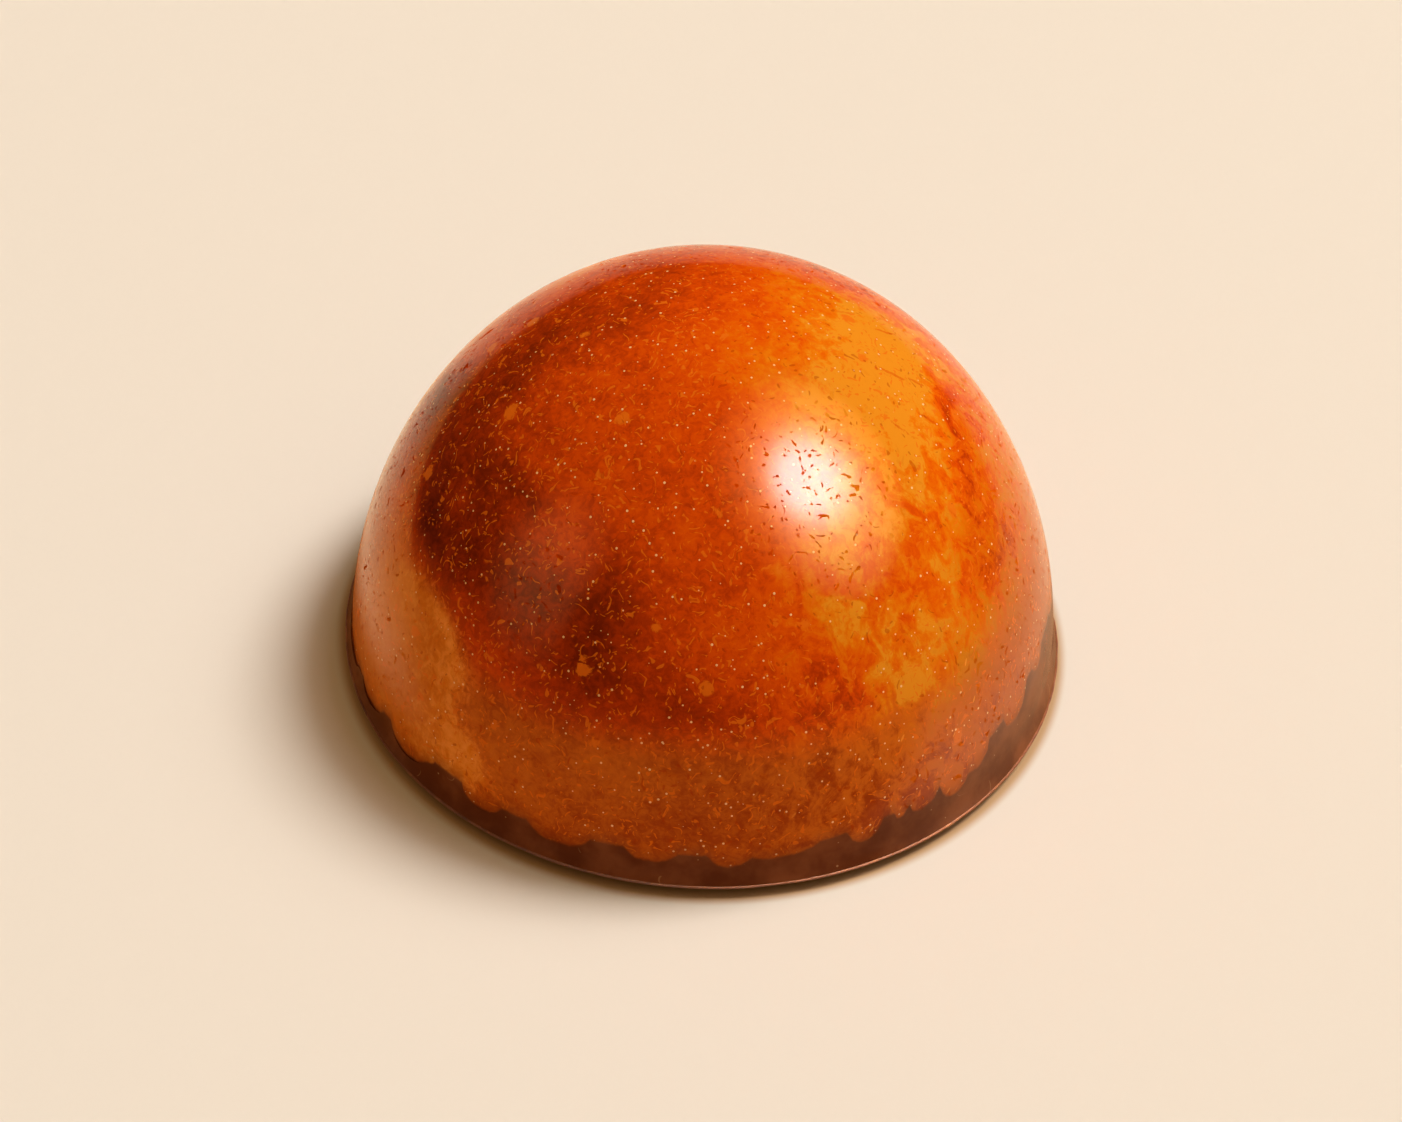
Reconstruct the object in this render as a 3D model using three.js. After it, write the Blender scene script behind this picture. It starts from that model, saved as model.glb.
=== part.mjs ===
// A moulded dome bonbon, in millimetres, +Z up. It stands on its flat foot, with the origin under its crown.
// Azimuth 0 faces -Y and azimuth 90 faces +X.
//
// The real one is cast upside down in a cup-shaped mould. A film of coloured cocoa butter goes in first, chocolate
// is poured behind it, and a cap is scraped over the open side last. So the film lies flush in the chocolate, it
// ends above the rim in a row of round drips, and the edge of the cap stands proud all round as a thin lip. The cap
// bulges out of the mould a little, so the bonbon stands on a foot that is smaller than the rim, in the lip's shade.
import * as THREE from "three";

// Driving dimensions
const DOME_RADIUS = 15;
const DOME_HEIGHT = 17.1;
const FILM_THICKNESS = 0.25;
const RIM_HEIGHT = 0.45;
const CAP_RISE = 0.26;
const FOOT_INSET = 1;
const LIP_REACH = 0.3;
const LIP_UNEVENNESS = 0.05;
const LIP_UNDERSIDE = 0.04;
const LIP_ROUNDING = 0.08;

// The wall turns out a little where it meets the cap.
const SKIRT_REACH = 0.12;
const SKIRT_HEIGHT = 1;

// Heights are measured from the mould's rim, which lies RIM_HEIGHT above the surface that the bonbon stands on.
//
// The film's lower edge. The notches between two drips lie at one height, apart from where the whole edge swells
// up or down. A drip hangs below them by its drop, and none reaches lower than the lowest edge. Azimuths and half
// widths are in degrees.
const NOTCH_HEIGHT = 1.55;
const SWELLS = [
  { azimuth: 85, halfWidth: 65, height: 2.3 },
  { azimuth: 28, halfWidth: 22, height: 0.3 },
  { azimuth: -85, halfWidth: 45, height: -0.9 },
];
const LOWEST_EDGE = 0.52;
const DRIP_ROUNDNESS = 0.5;

// The drips of the front half, which all differ, and the rule for those of the back half.
const FRONT_DRIPS = [
  { azimuth: -78, halfWidth: 5, drop: 0.4 },
  { azimuth: -65, halfWidth: 4.5, drop: 0.5 },
  { azimuth: -52, halfWidth: 5.2, drop: 0.85 },
  { azimuth: -48, halfWidth: 2.8, drop: 0.35 },
  { azimuth: -35, halfWidth: 4, drop: 0.75 },
  { azimuth: -29, halfWidth: 3.5, drop: 0.16 },
  { azimuth: -21, halfWidth: 5.2, drop: 0.73 },
  { azimuth: -6, halfWidth: 3.8, drop: 0.55 },
  { azimuth: 6.2, halfWidth: 3.3, drop: 0.62 },
  { azimuth: 14.2, halfWidth: 5.8, drop: 0.38 },
  { azimuth: 28, halfWidth: 2.9, drop: 0.8 },
  { azimuth: 34.3, halfWidth: 1.2, drop: 0.4 },
  { azimuth: 38.8, halfWidth: 2.8, drop: 0.62 },
  { azimuth: 45.8, halfWidth: 3.5, drop: 1.05 },
  { azimuth: 50.8, halfWidth: 3.1, drop: 0.8 },
  { azimuth: 62.3, halfWidth: 4, drop: 0.92 },
  { azimuth: 71.8, halfWidth: 2.4, drop: 0.55 },
];
const BACK_DRIPS = { count: 14, firstAzimuth: 84, step: 13.5, halfWidth: 4.4, drop: 0.7, unevenness: 0.4 };

// Clearance between pieces that touch, and how finely the round surfaces are divided.
const GAP = 0.05;
const SEGMENTS = 144;
const OUTER_ROWS = 14;
const INNER_ROWS = 8;
const WALL_ROWS = 3;
const BULGE_ROWS = 4;

const COLOURS = { film: 0xc4510c, chocolate: 0x3a1c0e, cap: 0x4a2413 };

// A number from -1 to 1 that looks random and is the same each time for the same seed.
function scatter(seed) {
  const wave = Math.sin(seed * 12.9898) * 43758.5453;
  return 2 * (wave - Math.floor(wave)) - 1;
}

// The signed difference between two azimuths, from -180 to 180 degrees.
function azimuthFrom(centre, azimuth) {
  return THREE.MathUtils.euclideanModulo(azimuth - centre + 180, 360) - 180;
}

// How far an azimuth is from the middle of a swell or a drip, as a share of its half width. It is 1 all outside.
function shareOfHalf(shape, azimuth) {
  return Math.min(1, Math.abs(azimuthFrom(shape.azimuth, azimuth)) / shape.halfWidth);
}

// The height of the notches, with the swells, which rise and fall as smoothly as a wave.
function notchHeight(azimuth) {
  const swell = (shape) => shape.height * Math.cos((shareOfHalf(shape, azimuth) * Math.PI) / 2) ** 2;
  return SWELLS.reduce((height, shape) => height + swell(shape), NOTCH_HEIGHT);
}

function backDrips() {
  return Array.from({ length: BACK_DRIPS.count }, (_, i) => ({
    azimuth: BACK_DRIPS.firstAzimuth + BACK_DRIPS.step * (i + 0.2 * scatter(i + 1)),
    halfWidth: BACK_DRIPS.halfWidth * (1 + BACK_DRIPS.unevenness * scatter(i + 31)),
    drop: BACK_DRIPS.drop * (1 + BACK_DRIPS.unevenness * scatter(i + 61)),
  }));
}

const DRIPS = [...FRONT_DRIPS, ...backDrips()];

// How far the deepest drip at this azimuth hangs below the notches. A drip has steep flanks and a round bottom.
function dripDrop(azimuth) {
  return Math.max(...DRIPS.map((drip) => drip.drop * (1 - shareOfHalf(drip, azimuth) ** 2) ** DRIP_ROUNDNESS));
}

// The height of the film's lower edge at an azimuth.
function filmEdge(azimuth) {
  return Math.max(LOWEST_EDGE, notchHeight(azimuth) - dripDrop(azimuth));
}

// The dome is half an ellipsoid. A point on its meridian is given by its angle from the crown, and it may lie some
// way inside the surface.
function domePoint(angle, depth) {
  const outward = new THREE.Vector2(Math.sin(angle) / DOME_RADIUS, Math.cos(angle) / DOME_HEIGHT).normalize();
  const surface = new THREE.Vector2(DOME_RADIUS * Math.sin(angle), DOME_HEIGHT * Math.cos(angle));
  return surface.addScaledVector(outward, -depth);
}

function angleAtHeight(height) {
  return Math.acos(height / DOME_HEIGHT);
}

// The outer wall below the film, which leaves the ellipsoid near the cap.
function wallPoint(height) {
  const point = domePoint(angleAtHeight(height), 0);
  const nearness = Math.max(0, 1 - height / SKIRT_HEIGHT);
  return new THREE.Vector2(point.x + SKIRT_REACH * nearness ** 2, height);
}

// Points on the meridian from the crown, on the axis, down to a height, at one depth.
function domeRows(height, depth, rows) {
  const lowest = angleAtHeight(height);
  return Array.from({ length: rows + 1 }, (_, i) => domePoint((lowest * i) / rows, depth));
}

// The film's section, down its inner face to the edge and back up its outer face to the crown.
function filmSection(azimuth) {
  const edge = filmEdge(azimuth);
  return [...domeRows(edge, FILM_THICKNESS, INNER_ROWS), ...domeRows(edge, 0, OUTER_ROWS).reverse()];
}

// The chocolate's section: flat underside, wall up to the film's edge, then the bed that the film lies in.
function chocolateSection(azimuth) {
  const bottom = CAP_RISE + GAP;
  const ledge = filmEdge(azimuth) - GAP;
  const wall = Array.from({ length: WALL_ROWS + 1 }, (_, i) => wallPoint(bottom + ((ledge - bottom) * i) / WALL_ROWS));
  const bed = domeRows(ledge, FILM_THICKNESS + GAP, INNER_ROWS).reverse();
  return [new THREE.Vector2(0, bottom), ...wall, ...bed];
}

// The cap's section: the flat foot, the bulge that rises from it to the rim as a quarter of an ellipse, and the lip,
// a thin blade that stands proud of the wall and is worn round on top.
function capSection(azimuth) {
  const turn = THREE.MathUtils.degToRad(azimuth);
  const wobble = (Math.sin(5 * turn) + Math.sin(11 * turn + 1) + Math.sin(23 * turn + 2)) / 3;
  const lip = DOME_RADIUS + LIP_REACH + LIP_UNEVENNESS * wobble;
  const foot = lip - FOOT_INSET;
  const bulge = Array.from({ length: BULGE_ROWS + 1 }, (_, i) => {
    const rise = ((Math.PI / 2) * i) / BULGE_ROWS;
    return new THREE.Vector2(foot + (FOOT_INSET - LIP_REACH) * Math.sin(rise), -RIM_HEIGHT * Math.cos(rise));
  });
  return [
    new THREE.Vector2(0, -RIM_HEIGHT),
    ...bulge,
    new THREE.Vector2(lip, LIP_UNDERSIDE),
    new THREE.Vector2(lip, CAP_RISE - 2 * LIP_ROUNDING),
    new THREE.Vector2(lip - 0.3 * LIP_ROUNDING, CAP_RISE - LIP_ROUNDING),
    new THREE.Vector2(lip - LIP_ROUNDING, CAP_RISE),
    new THREE.Vector2(0, CAP_RISE),
  ];
}

// Turns a section round the axis. The section may change with azimuth but always has the same number of points.
function turned(sectionAt) {
  const count = sectionAt(0).length;
  const geometry = new THREE.LatheGeometry(sectionAt(0), SEGMENTS);
  const position = geometry.getAttribute("position");
  for (let i = 0; i <= SEGMENTS; i++) {
    const azimuth = (360 * (i % SEGMENTS)) / SEGMENTS;
    const turn = THREE.MathUtils.degToRad(azimuth);
    sectionAt(azimuth).forEach((point, j) => {
      position.setXYZ(i * count + j, point.x * Math.sin(turn), point.y + RIM_HEIGHT, point.x * Math.cos(turn));
    });
  }
  geometry.rotateX(Math.PI / 2);
  geometry.computeVertexNormals();
  return geometry;
}

function piece(name, sectionAt, colour, roughness) {
  const material = new THREE.MeshStandardMaterial({ color: colour, roughness, metalness: 0 });
  const mesh = new THREE.Mesh(turned(sectionAt), material);
  mesh.name = name;
  return mesh;
}

const bonbon = new THREE.Group();
bonbon.add(piece("colour_film", filmSection, COLOURS.film, 0.25));
bonbon.add(piece("chocolate_dome", chocolateSection, COLOURS.chocolate, 0.35));
bonbon.add(piece("base_cap", capSection, COLOURS.cap, 0.5));

export default bonbon;
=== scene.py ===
# %% [markdown]
# # A moulded bonbon in a marbled film of colour
#
# A bonbon like this one is cast upside down. The chocolatier brushes and spatters coloured cocoa butter
# into a polished mould, pours chocolate behind it, and scrapes a thin cap over the open side. Turned out,
# the film is the skin of the dome. The chocolate shows below it, where the film ran into round drips, and
# the cap shows as a thin lip round the foot.
#
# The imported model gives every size. This lesson dresses it: a fine film with its drips, the chocolate with
# the bed that the film lies in, the bulging cap with its chipped lip, and a finish for each.

# %% Load the frame
import math

import bpy
from mathutils import Matrix, Vector, noise


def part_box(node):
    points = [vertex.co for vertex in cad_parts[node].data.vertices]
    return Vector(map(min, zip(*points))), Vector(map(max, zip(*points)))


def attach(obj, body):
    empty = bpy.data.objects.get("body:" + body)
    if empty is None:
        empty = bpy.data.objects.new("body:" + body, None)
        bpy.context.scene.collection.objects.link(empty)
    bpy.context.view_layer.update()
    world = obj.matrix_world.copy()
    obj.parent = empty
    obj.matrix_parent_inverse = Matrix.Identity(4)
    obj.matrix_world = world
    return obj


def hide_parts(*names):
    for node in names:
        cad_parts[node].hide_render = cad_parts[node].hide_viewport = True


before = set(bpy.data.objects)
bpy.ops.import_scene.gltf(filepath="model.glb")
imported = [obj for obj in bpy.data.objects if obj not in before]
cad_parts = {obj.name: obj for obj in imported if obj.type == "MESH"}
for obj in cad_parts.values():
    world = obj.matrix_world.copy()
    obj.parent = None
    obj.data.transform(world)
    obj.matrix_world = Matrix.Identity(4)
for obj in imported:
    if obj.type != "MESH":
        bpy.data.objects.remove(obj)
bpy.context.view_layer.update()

# %% [markdown]
# ## Sizes
#
# A piece that stands for a node has to lie where the node lies, so the heights come from the nodes' own
# boxes. The mould's radius, the film's thickness and the drips are the real thing's driving sizes. The
# drips of the front half each have their own width and drop, and those of the back half follow a rule.
#
# Heights are counted from the mould's rim, because all that the mould shaped starts there. The cap bulges a
# little below the rim, so the rim lies above the floor. Each piece is made round the rim and lifted at the
# end.

# %% Sizes
MM = 0.001
RIM_HEIGHT = 0.45 * MM
DOME_RADIUS = 15 * MM
DOME_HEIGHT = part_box("colour_film")[1].z - RIM_HEIGHT
CAP_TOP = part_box("base_cap")[1].z - RIM_HEIGHT
LIP_RADIUS = 15.3 * MM
FOOT_RADIUS = LIP_RADIUS - 1 * MM
FILM_THICKNESS = 0.25 * MM
CLEARANCE = 0.02 * MM
SKIRT_REACH = 0.3 * MM
SKIRT_HEIGHT = 1 * MM
SKIRT_BOTTOM = 0.13 * MM
CAP_RADIUS = 15.09 * MM

# The film's lower edge. Azimuths and half widths are in degrees, and heights and drops in millimetres.
NOTCH_HEIGHT = 1.55
SWELLS = [(85, 65, 2.3), (28, 22, 0.3), (-85, 45, -0.9)]
LOWEST_EDGE = 0.52
DRIP_ROUNDNESS = 0.5
FRONT_DRIPS = [
    (-78, 5, 0.4), (-65, 4.5, 0.5), (-52, 5.2, 0.85), (-48, 2.8, 0.35), (-35, 4, 0.75), (-29, 3.5, 0.16),
    (-21, 5.2, 0.73), (-6, 3.8, 0.55), (6.2, 3.3, 0.62), (14.2, 5.8, 0.38), (28, 2.9, 0.8), (34.3, 1.2, 0.4),
    (38.8, 2.8, 0.62), (45.8, 3.5, 1.05), (50.8, 3.1, 0.8), (62.3, 4, 0.92), (71.8, 2.4, 0.55),
]
BACK_DRIP_COUNT = 14
BACK_DRIP_FIRST = 84
BACK_DRIP_STEP = 13.5
BACK_DRIP_HALF_WIDTH = 4.4
BACK_DRIP_DROP = 0.7
BACK_DRIP_UNEVENNESS = 0.4


def scatter(seed):
    """A number from -1 to 1 that looks random and is the same each time for the same seed."""
    wave = math.sin(seed * 12.9898) * 43758.5453
    return 2 * (wave - math.floor(wave)) - 1


def back_drip(i):
    """One drip of the back half: its azimuth, half width in degrees, and drop in millimetres."""
    azimuth = BACK_DRIP_FIRST + BACK_DRIP_STEP * (i + 0.2 * scatter(i + 1))
    half_width = BACK_DRIP_HALF_WIDTH * (1 + BACK_DRIP_UNEVENNESS * scatter(i + 31))
    drop = BACK_DRIP_DROP * (1 + BACK_DRIP_UNEVENNESS * scatter(i + 61))
    return azimuth, half_width, drop


DRIPS = FRONT_DRIPS + [back_drip(i) for i in range(BACK_DRIP_COUNT)]
print("dome", round(DOME_RADIUS / MM, 2), "by", round(DOME_HEIGHT / MM, 2), "mm,", len(DRIPS), "drips")

# %% [markdown]
# ## The mould's face
#
# The dome is half an ellipsoid. A place on it is given by its azimuth, which is 0 at the front and 90 on
# the right, and by how far it has come down from the crown. The film's lower edge is a height for each
# azimuth: a level row of notches, swells that lift or lower it, and drips that hang below.

# %% Places on the dome
def azimuth_of(point):
    """Degrees from the front, towards the right."""
    return math.degrees(math.atan2(point.x, -point.y))


def share_of_half(azimuth, centre, half_width):
    """How far an azimuth is from the middle of a swell or drip, as a share of its half width, at most 1."""
    away = abs((azimuth - centre + 180) % 360 - 180)
    return min(1, away / half_width)


def film_edge(azimuth):
    """The height of the film's lower edge, in metres."""
    notches = NOTCH_HEIGHT
    for centre, half_width, height in SWELLS:
        notches += height * math.cos(share_of_half(azimuth, centre, half_width) * math.pi / 2) ** 2
    drop = max(d * (1 - share_of_half(azimuth, c, w) ** 2) ** DRIP_ROUNDNESS for c, w, d in DRIPS)
    return max(LOWEST_EDGE, notches - drop) * MM


def dome_point(azimuth, fall):
    """The point of the mould's face at an azimuth, fall radians down its meridian from the crown."""
    turn = math.radians(azimuth)
    reach = DOME_RADIUS * math.sin(fall)
    return Vector((reach * math.sin(turn), -reach * math.cos(turn), DOME_HEIGHT * math.cos(fall)))


def dome_normal(point):
    """The outward direction of the mould's face at a point."""
    return Vector((point.x / DOME_RADIUS**2, point.y / DOME_RADIUS**2, point.z / DOME_HEIGHT**2)).normalized()


def wall_point(azimuth, height):
    """The chocolate's outer wall, which turns out a little just above the cap."""
    point = dome_point(azimuth, math.acos(height / DOME_HEIGHT))
    nearness = max(0, 1 - height / SKIRT_HEIGHT)
    outward = Vector((point.x, point.y, 0)).normalized()
    return point + outward * SKIRT_REACH * nearness**2


def deselect_all():
    """Leaves edit mode and clears the selection, because an operator acts on all that is selected."""
    if bpy.context.mode != "OBJECT":
        bpy.ops.object.mode_set(mode="OBJECT")
    bpy.ops.object.select_all(action="DESELECT")


print("film edge, front and right:", round(film_edge(0) / MM, 2), round(film_edge(80) / MM, 2), "mm")

# %% [markdown]
# ## The camera
#
# The camera comes first, so that each piece can be looked at as it is made. It looks down at the dome from
# a hand's length away through a long lens, and it is rolled a few degrees, as a hand-held camera is.

# %% Camera
CAMERA_ELEVATION = 43.834
CAMERA_DISTANCE = 0.167417
CAMERA_ROLL = 3.066
CAMERA_AIM = Vector((-0.0002076, 0, 0.0037678))

tilt = math.radians(CAMERA_ELEVATION)
rim_lift = Vector((0, 0, RIM_HEIGHT))
camera_place = Vector((0, -math.cos(tilt), math.sin(tilt))) * CAMERA_DISTANCE + rim_lift
camera_data = bpy.data.cameras.new("camera")
camera_data.lens = 100
camera_data.sensor_width = 36
camera_data.clip_start = 0.01
camera_data.clip_end = 20
camera = bpy.data.objects.new("camera", camera_data)
bpy.context.scene.collection.objects.link(camera)
look = (CAMERA_AIM + rim_lift - camera_place).to_track_quat("-Z", "Y").to_matrix().to_4x4()
roll = Matrix.Rotation(math.radians(CAMERA_ROLL), 4, "Z")
camera.matrix_world = Matrix.Translation(camera_place) @ look @ roll
bpy.context.scene.camera = camera
print("camera", [round(side, 4) for side in camera_place], "metres")

# %% [markdown]
# ## The film
#
# The film could be cut from a ball with a jagged cutter, but a cut leaves slivers that shine badly. So half
# a ball is pulled up to the dome's height, and then each of its rings slides down its meridians until the
# lowest ring lies on the drips. Every face stays a neat four-sided one. The sheet is kept single until the
# chocolate's bed has been taken from it.

# %% Film sheet
FILM_SEGMENTS = 600
FILM_RINGS = 60
FREE_SHARE = 0.7
SMOOTH_ANGLE = math.radians(35)

deselect_all()
bpy.ops.mesh.primitive_uv_sphere_add(segments=FILM_SEGMENTS, ring_count=2 * FILM_RINGS, radius=DOME_RADIUS)
film = bpy.context.active_object
film.name = film.data.name = "marbled_film"
bpy.ops.object.mode_set(mode="EDIT")
bpy.ops.mesh.select_all(action="SELECT")
bpy.ops.mesh.bisect(plane_co=(0, 0, 0), plane_no=(0, 0, 1), clear_inner=True)
bpy.ops.mesh.select_all(action="SELECT")
bpy.ops.transform.resize(value=(1, 1, DOME_HEIGHT / DOME_RADIUS), center_override=(0, 0, 0))
bpy.ops.object.mode_set(mode="OBJECT")

QUARTER_TURN = math.pi / 2
LEVEL_FALL = math.acos(NOTCH_HEIGHT * MM / DOME_HEIGHT)
for vertex in film.data.vertices:
    azimuth = azimuth_of(vertex.co)
    fall = math.acos(max(-1, min(1, vertex.co.z / DOME_HEIGHT))) / QUARTER_TURN
    lowest_fall = math.acos(film_edge(azimuth) / DOME_HEIGHT)
    nearness = max(0, (fall - FREE_SHARE) / (1 - FREE_SHARE)) ** 2
    vertex.co = dome_point(azimuth, LEVEL_FALL * fall + (lowest_fall - LEVEL_FALL) * nearness)
print("film sheet:", len(film.data.polygons), "faces")

# %% [markdown]
# ## The chocolate
#
# The chocolate filled the mould behind the film, so it carries the film's print. A copy of the sheet
# shrinks by the film's thickness and becomes the bed. Its edge is extruded out to the mould's face, which
# makes the ledge that the film ends on, then down the wall in steps. At the foot it turns in and up round
# the cap, and the underside is filled.

# %% Chocolate
WALL_STEPS = 6


def place_selected(mesh_object, place):
    """Puts each selected vertex where place says for its azimuth."""
    bpy.ops.object.mode_set(mode="OBJECT")
    for vertex in mesh_object.data.vertices:
        if vertex.select:
            vertex.co = place(azimuth_of(vertex.co))
    bpy.ops.object.mode_set(mode="EDIT")


deselect_all()
film.select_set(True)
bpy.context.view_layer.objects.active = film
bpy.ops.object.duplicate()
chocolate = bpy.context.active_object
chocolate.name = chocolate.data.name = "chocolate_body"
bpy.ops.object.mode_set(mode="EDIT")
bpy.ops.mesh.select_all(action="SELECT")
bpy.ops.transform.shrink_fatten(value=-(FILM_THICKNESS + CLEARANCE))
bpy.ops.mesh.select_all(action="DESELECT")
bpy.ops.mesh.select_mode(type="EDGE")
bpy.ops.mesh.select_non_manifold(extend=False, use_wire=False, use_multi_face=False, use_non_contiguous=False)
for step in range(WALL_STEPS + 1):
    bpy.ops.mesh.extrude_region_move()

    def wall_place(azimuth, share=step / WALL_STEPS):
        edge = film_edge(azimuth)
        return wall_point(azimuth, edge + (SKIRT_BOTTOM - edge) * share)

    place_selected(chocolate, wall_place)
for height in (SKIRT_BOTTOM, CAP_TOP + CLEARANCE):
    bpy.ops.mesh.extrude_region_move()

    def rebate_place(azimuth, height=height):
        turn = math.radians(azimuth)
        reach = CAP_RADIUS + CLEARANCE
        return Vector((reach * math.sin(turn), -reach * math.cos(turn), height))

    place_selected(chocolate, rebate_place)
bpy.ops.mesh.edge_face_add()
bpy.ops.mesh.select_all(action="SELECT")
bpy.ops.mesh.normals_make_consistent(inside=False)
bpy.ops.object.mode_set(mode="OBJECT")
bpy.ops.object.shade_smooth_by_angle(angle=SMOOTH_ANGLE)
print("chocolate:", len(chocolate.data.polygons), "faces")

# %% [markdown]
# ## Where the clouds of colour lie
#
# The colours were dabbed in as soft clouds, and where one lies over another the film is darker or brighter.
# So the pattern is kept as one number on each point, the tone: a middling tone all over, with dark clouds
# taken off it on the left and in front, amber ones added on the right, and red streaks drawn through the
# amber. The material turns the tone into colour later, after it has added noise to it, and so the clouds
# get ragged edges that no drawn outline could have. The tan clouds, most of them at the lower left, have a
# number of their own, because tan isn't on the way from dark red to amber.

# %% Clouds
def cloud(azimuth, height, half_width, half_height, turn=0, strength=1):
    """A soft cloud on the dome, sized in millimetres. A positive turn lets its right end hang down."""
    centre = dome_point(azimuth, math.acos(height * MM / DOME_HEIGHT))
    lean = math.asin(dome_normal(centre).z)
    facing = Matrix.Rotation(math.radians(azimuth), 4, "Z") @ Matrix.Rotation(-lean, 4, "X")
    facing = facing @ Matrix.Rotation(math.radians(turn), 4, "Y")
    depth = max(half_width, half_height)
    size = Matrix.Diagonal((half_width * MM, depth * MM, half_height * MM, 1))
    return (Matrix.Translation(centre) @ facing @ size).inverted(), strength


def density(clouds, point):
    """The clouds' strengths added up at a point. A cloud thins out smoothly from its middle."""
    return sum(strength * math.exp(-(own @ point).length_squared) for own, strength in clouds)


BACK_START = 112
BACK_SPAN = 140
BACK_HEIGHT = 9.5
BACK_SPREAD = 4.5


def back_clouds(seed, count, size, strength):
    """Clouds of one kind on the half that faces away, spread by a rule."""
    made = []
    for i in range(count):
        azimuth = BACK_START + BACK_SPAN * (i + 0.5 + 0.4 * scatter(seed + i)) / count
        height = BACK_HEIGHT + BACK_SPREAD * scatter(seed + 20 + i)
        made.append(cloud(azimuth, height, size, 0.55 * size, 40 * scatter(seed + 40 + i), strength))
    return made


# Each row is azimuth, height, half width, half height, turn and strength, and a list runs from left to right.
DARK_LEFT = [
    (-100, 16.6, 2.6, 1.8, 0, -0.13), (-96, 11.4, 3.4, 2.4, 16, -0.28), (-93, 14.9, 3.2, 1.5, 12, -0.22),
    (-90, 15.9, 3.0, 1.0, 0, -0.08), (-80, 13.3, 3.4, 1.5, 14, -0.2), (-71, 11.0, 2.4, 1.5, 32, -0.24),
    (-68, 9.6, 2.2, 1.0, 20, -0.16), (-62, 9.6, 2.0, 0.8, 30, -0.1), (-58, 12.2, 2.2, 1.0, 0, -0.18),
    (-53, 10.3, 2.4, 1.5, 0, -0.3), (-53, 4.5, 1.6, 0.45, 0, -0.2), (-52, 13.0, 3.0, 0.9, 0, -0.1),
    (-50, 13.0, 1.6, 0.5, 4, -0.14), (-42, 14.8, 3.0, 1.2, 0, -0.04),
]
DARK_ELSEWHERE = [
    (-38, 10.9, 2.6, 2.2, 0, -0.12), (-34, 10.8, 1.9, 1.6, 0, -0.2), (-30, 8.6, 2.4, 1.2, 0, -0.06),
    (-28, 8.8, 2.2, 1.0, 0, -0.1), (-25, 7.2, 2.4, 1.0, 0, -0.12), (-19, 10.6, 1.3, 2.8, 0, -0.24),
    (-18, 9.1, 1.4, 1.2, 0, -0.08), (-12, 9.6, 2.6, 2.4, 0, -0.07), (-8, 9.2, 2.2, 1.8, 0, -0.09),
    (-1, 7.9, 4.0, 0.6, 0, -0.13), (2, 2.8, 3.4, 1.0, 0, -0.08), (12, 16.2, 1.8, 1.6, 0, -0.12),
    (32, 7.6, 1.3, 0.9, 0, -0.12), (180, 15.8, 8.0, 3.0, 0, -0.12),
]
RED_STREAKS = [
    (48, 7.7, 1.0, 0.7, 0, -0.14), (52, 13.4, 0.8, 1.0, 10, -0.12), (60, 10.6, 1.0, 0.7, -20, -0.12),
    (63, 9.6, 1.3, 0.9, 0, -0.12), (69, 11.0, 1.8, 0.8, -34, -0.16), (71, 9.3, 1.2, 0.8, 0, -0.14),
    (80, 12.5, 3.2, 0.7, -32, -0.24), (93, 13.7, 1.5, 0.4, -18, -0.22),
]
AMBER_CROWN = [
    (30, 16.6, 2.0, 1.4, 0, 0.12), (50, 15.9, 3.4, 1.6, 10, 0.34), (60, 16.95, 3.4, 2.2, 0, 0.2),
    (78, 15.0, 6.0, 2.6, 0, 0.45), (92, 16.0, 4.0, 1.6, 0, 0.2), (104, 14.6, 2.4, 2.0, 0, 0.12),
    (105, 14.8, 2.6, 2.4, 0, 0.24), (132, 16.4, 3.0, 1.8, 0, 0.22), (168, 15.9, 4.4, 1.8, 0, 0.16),
]
AMBER_SIDE = [
    (-37, 12.0, 1.3, 2.0, 0, 0.12), (-24, 14.0, 1.6, 0.4, 0, 0.08), (12, 10.5, 3.0, 1.8, 0, 0.06),
    (20, 10.9, 1.8, 1.2, 0, 0.1), (26, 12.4, 2.0, 1.6, 0, 0.16), (30, 10.7, 1.2, 1.3, 0, 0.28),
    (32, 13.0, 1.8, 1.5, 0, 0.16), (35, 9.6, 1.6, 1.2, 0, 0.14), (46, 13.4, 2.2, 1.6, 0, 0.14),
    (50, 10.8, 1.8, 1.3, 0, 0.16), (60, 13.8, 2.4, 1.8, 0, 0.14), (66, 11.6, 4.6, 2.8, 0, 0.24),
    (98, 10.0, 4.0, 4.0, 0, 0.26),
]
AMBER_LOW = [
    (-34, 3.6, 2.0, 2.0, 0, 0.14), (-12, 5.4, 2.6, 1.4, 0, 0.1), (36, 8.0, 1.4, 1.4, 0, 0.12),
    (37, 7.2, 1.6, 0.8, -20, 0.2), (44, 8.8, 3.6, 1.9, -20, 0.28), (46, 4.4, 4.0, 2.0, 0, 0.1),
    (50, 6.5, 3.4, 2.2, 0, 0.18), (58, 7.4, 3.0, 1.8, 0, 0.24), (78, 5.4, 4.0, 3.0, 0, 0.28),
]
TAN_PATCHES = [
    (-68, 5.8, 2.4, 1.8, 10, 0.35), (-62, 3.2, 5.0, 3.0, 0, 0.8), (-54, 6.4, 2.6, 1.8, 8, 1.2),
    (-42, 2.6, 2.6, 1.6, 0, 0.7), (37, 13.3, 3.2, 1.7, 0, 0.3),
]
MIDDLING_TONE = 0.5
TONE_ROWS = DARK_LEFT + DARK_ELSEWHERE + RED_STREAKS + AMBER_CROWN + AMBER_SIDE + AMBER_LOW
TONE_CLOUDS = [cloud(*row) for row in TONE_ROWS]
TONE_CLOUDS += back_clouds(3, 6, 3.2, -0.4) + back_clouds(7, 5, 3.0, 0.35)
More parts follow.
